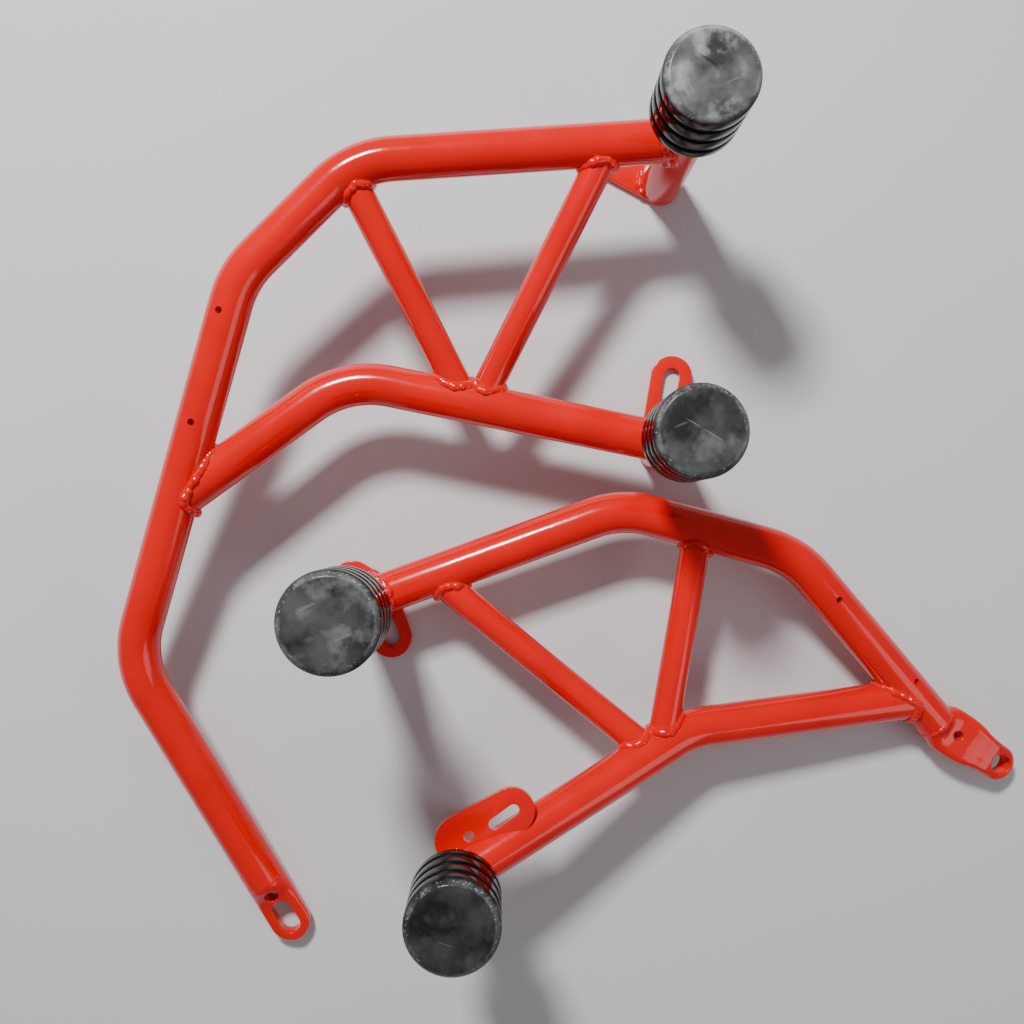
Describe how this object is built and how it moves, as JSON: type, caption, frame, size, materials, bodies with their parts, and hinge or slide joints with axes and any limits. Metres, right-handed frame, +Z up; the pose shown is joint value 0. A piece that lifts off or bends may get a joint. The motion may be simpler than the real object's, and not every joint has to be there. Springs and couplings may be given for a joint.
{
  "type": "motorcycle crash bars",
  "caption": "Pair of welded tubular motorcycle crash bars with braced frames, slotted mounting ends and round grooved sliders on posts.",
  "frame": {"origin": "centre of the pair's footprint on the ground", "axes": "+Z up along the slider posts, +X along the pair's longest side, +Y from the right bar to the left bar"},
  "size_m": [0.563, 0.5184, 0.199],
  "materials": {
    "red_coat": "gloss red powder coat on steel tube",
    "black_nylon": "turned black nylon, satin, with fine tool marks",
    "zinc_steel": "zinc plated steel"
  },
  "bodies": {
    "root": {"left_outer_tube": "red_coat", "left_inner_tube": "red_coat", "left_front_brace": "red_coat", "left_rear_brace": "red_coat", "left_upper_post": "red_coat", "left_lower_post": "red_coat", "left_upper_plate": "red_coat", "left_lower_plate": "red_coat", "left_end_lug": "red_coat", "left_weld_beads": "red_coat", "left_upper_slider": "black_nylon", "left_lower_slider": "black_nylon", "left_slider_inserts": "zinc_steel", "left_slider_studs": "zinc_steel", "right_outer_tube": "red_coat", "right_inner_tube": "red_coat", "right_front_brace": "red_coat", "right_rear_brace": "red_coat", "right_upper_post": "red_coat", "right_lower_post": "red_coat", "right_upper_plate": "red_coat", "right_lower_plate": "red_coat", "right_end_lug": "red_coat", "right_weld_beads": "red_coat", "right_upper_slider": "black_nylon", "right_lower_slider": "black_nylon", "right_slider_inserts": "zinc_steel", "right_slider_studs": "zinc_steel"}
  },
  "joints": []
}
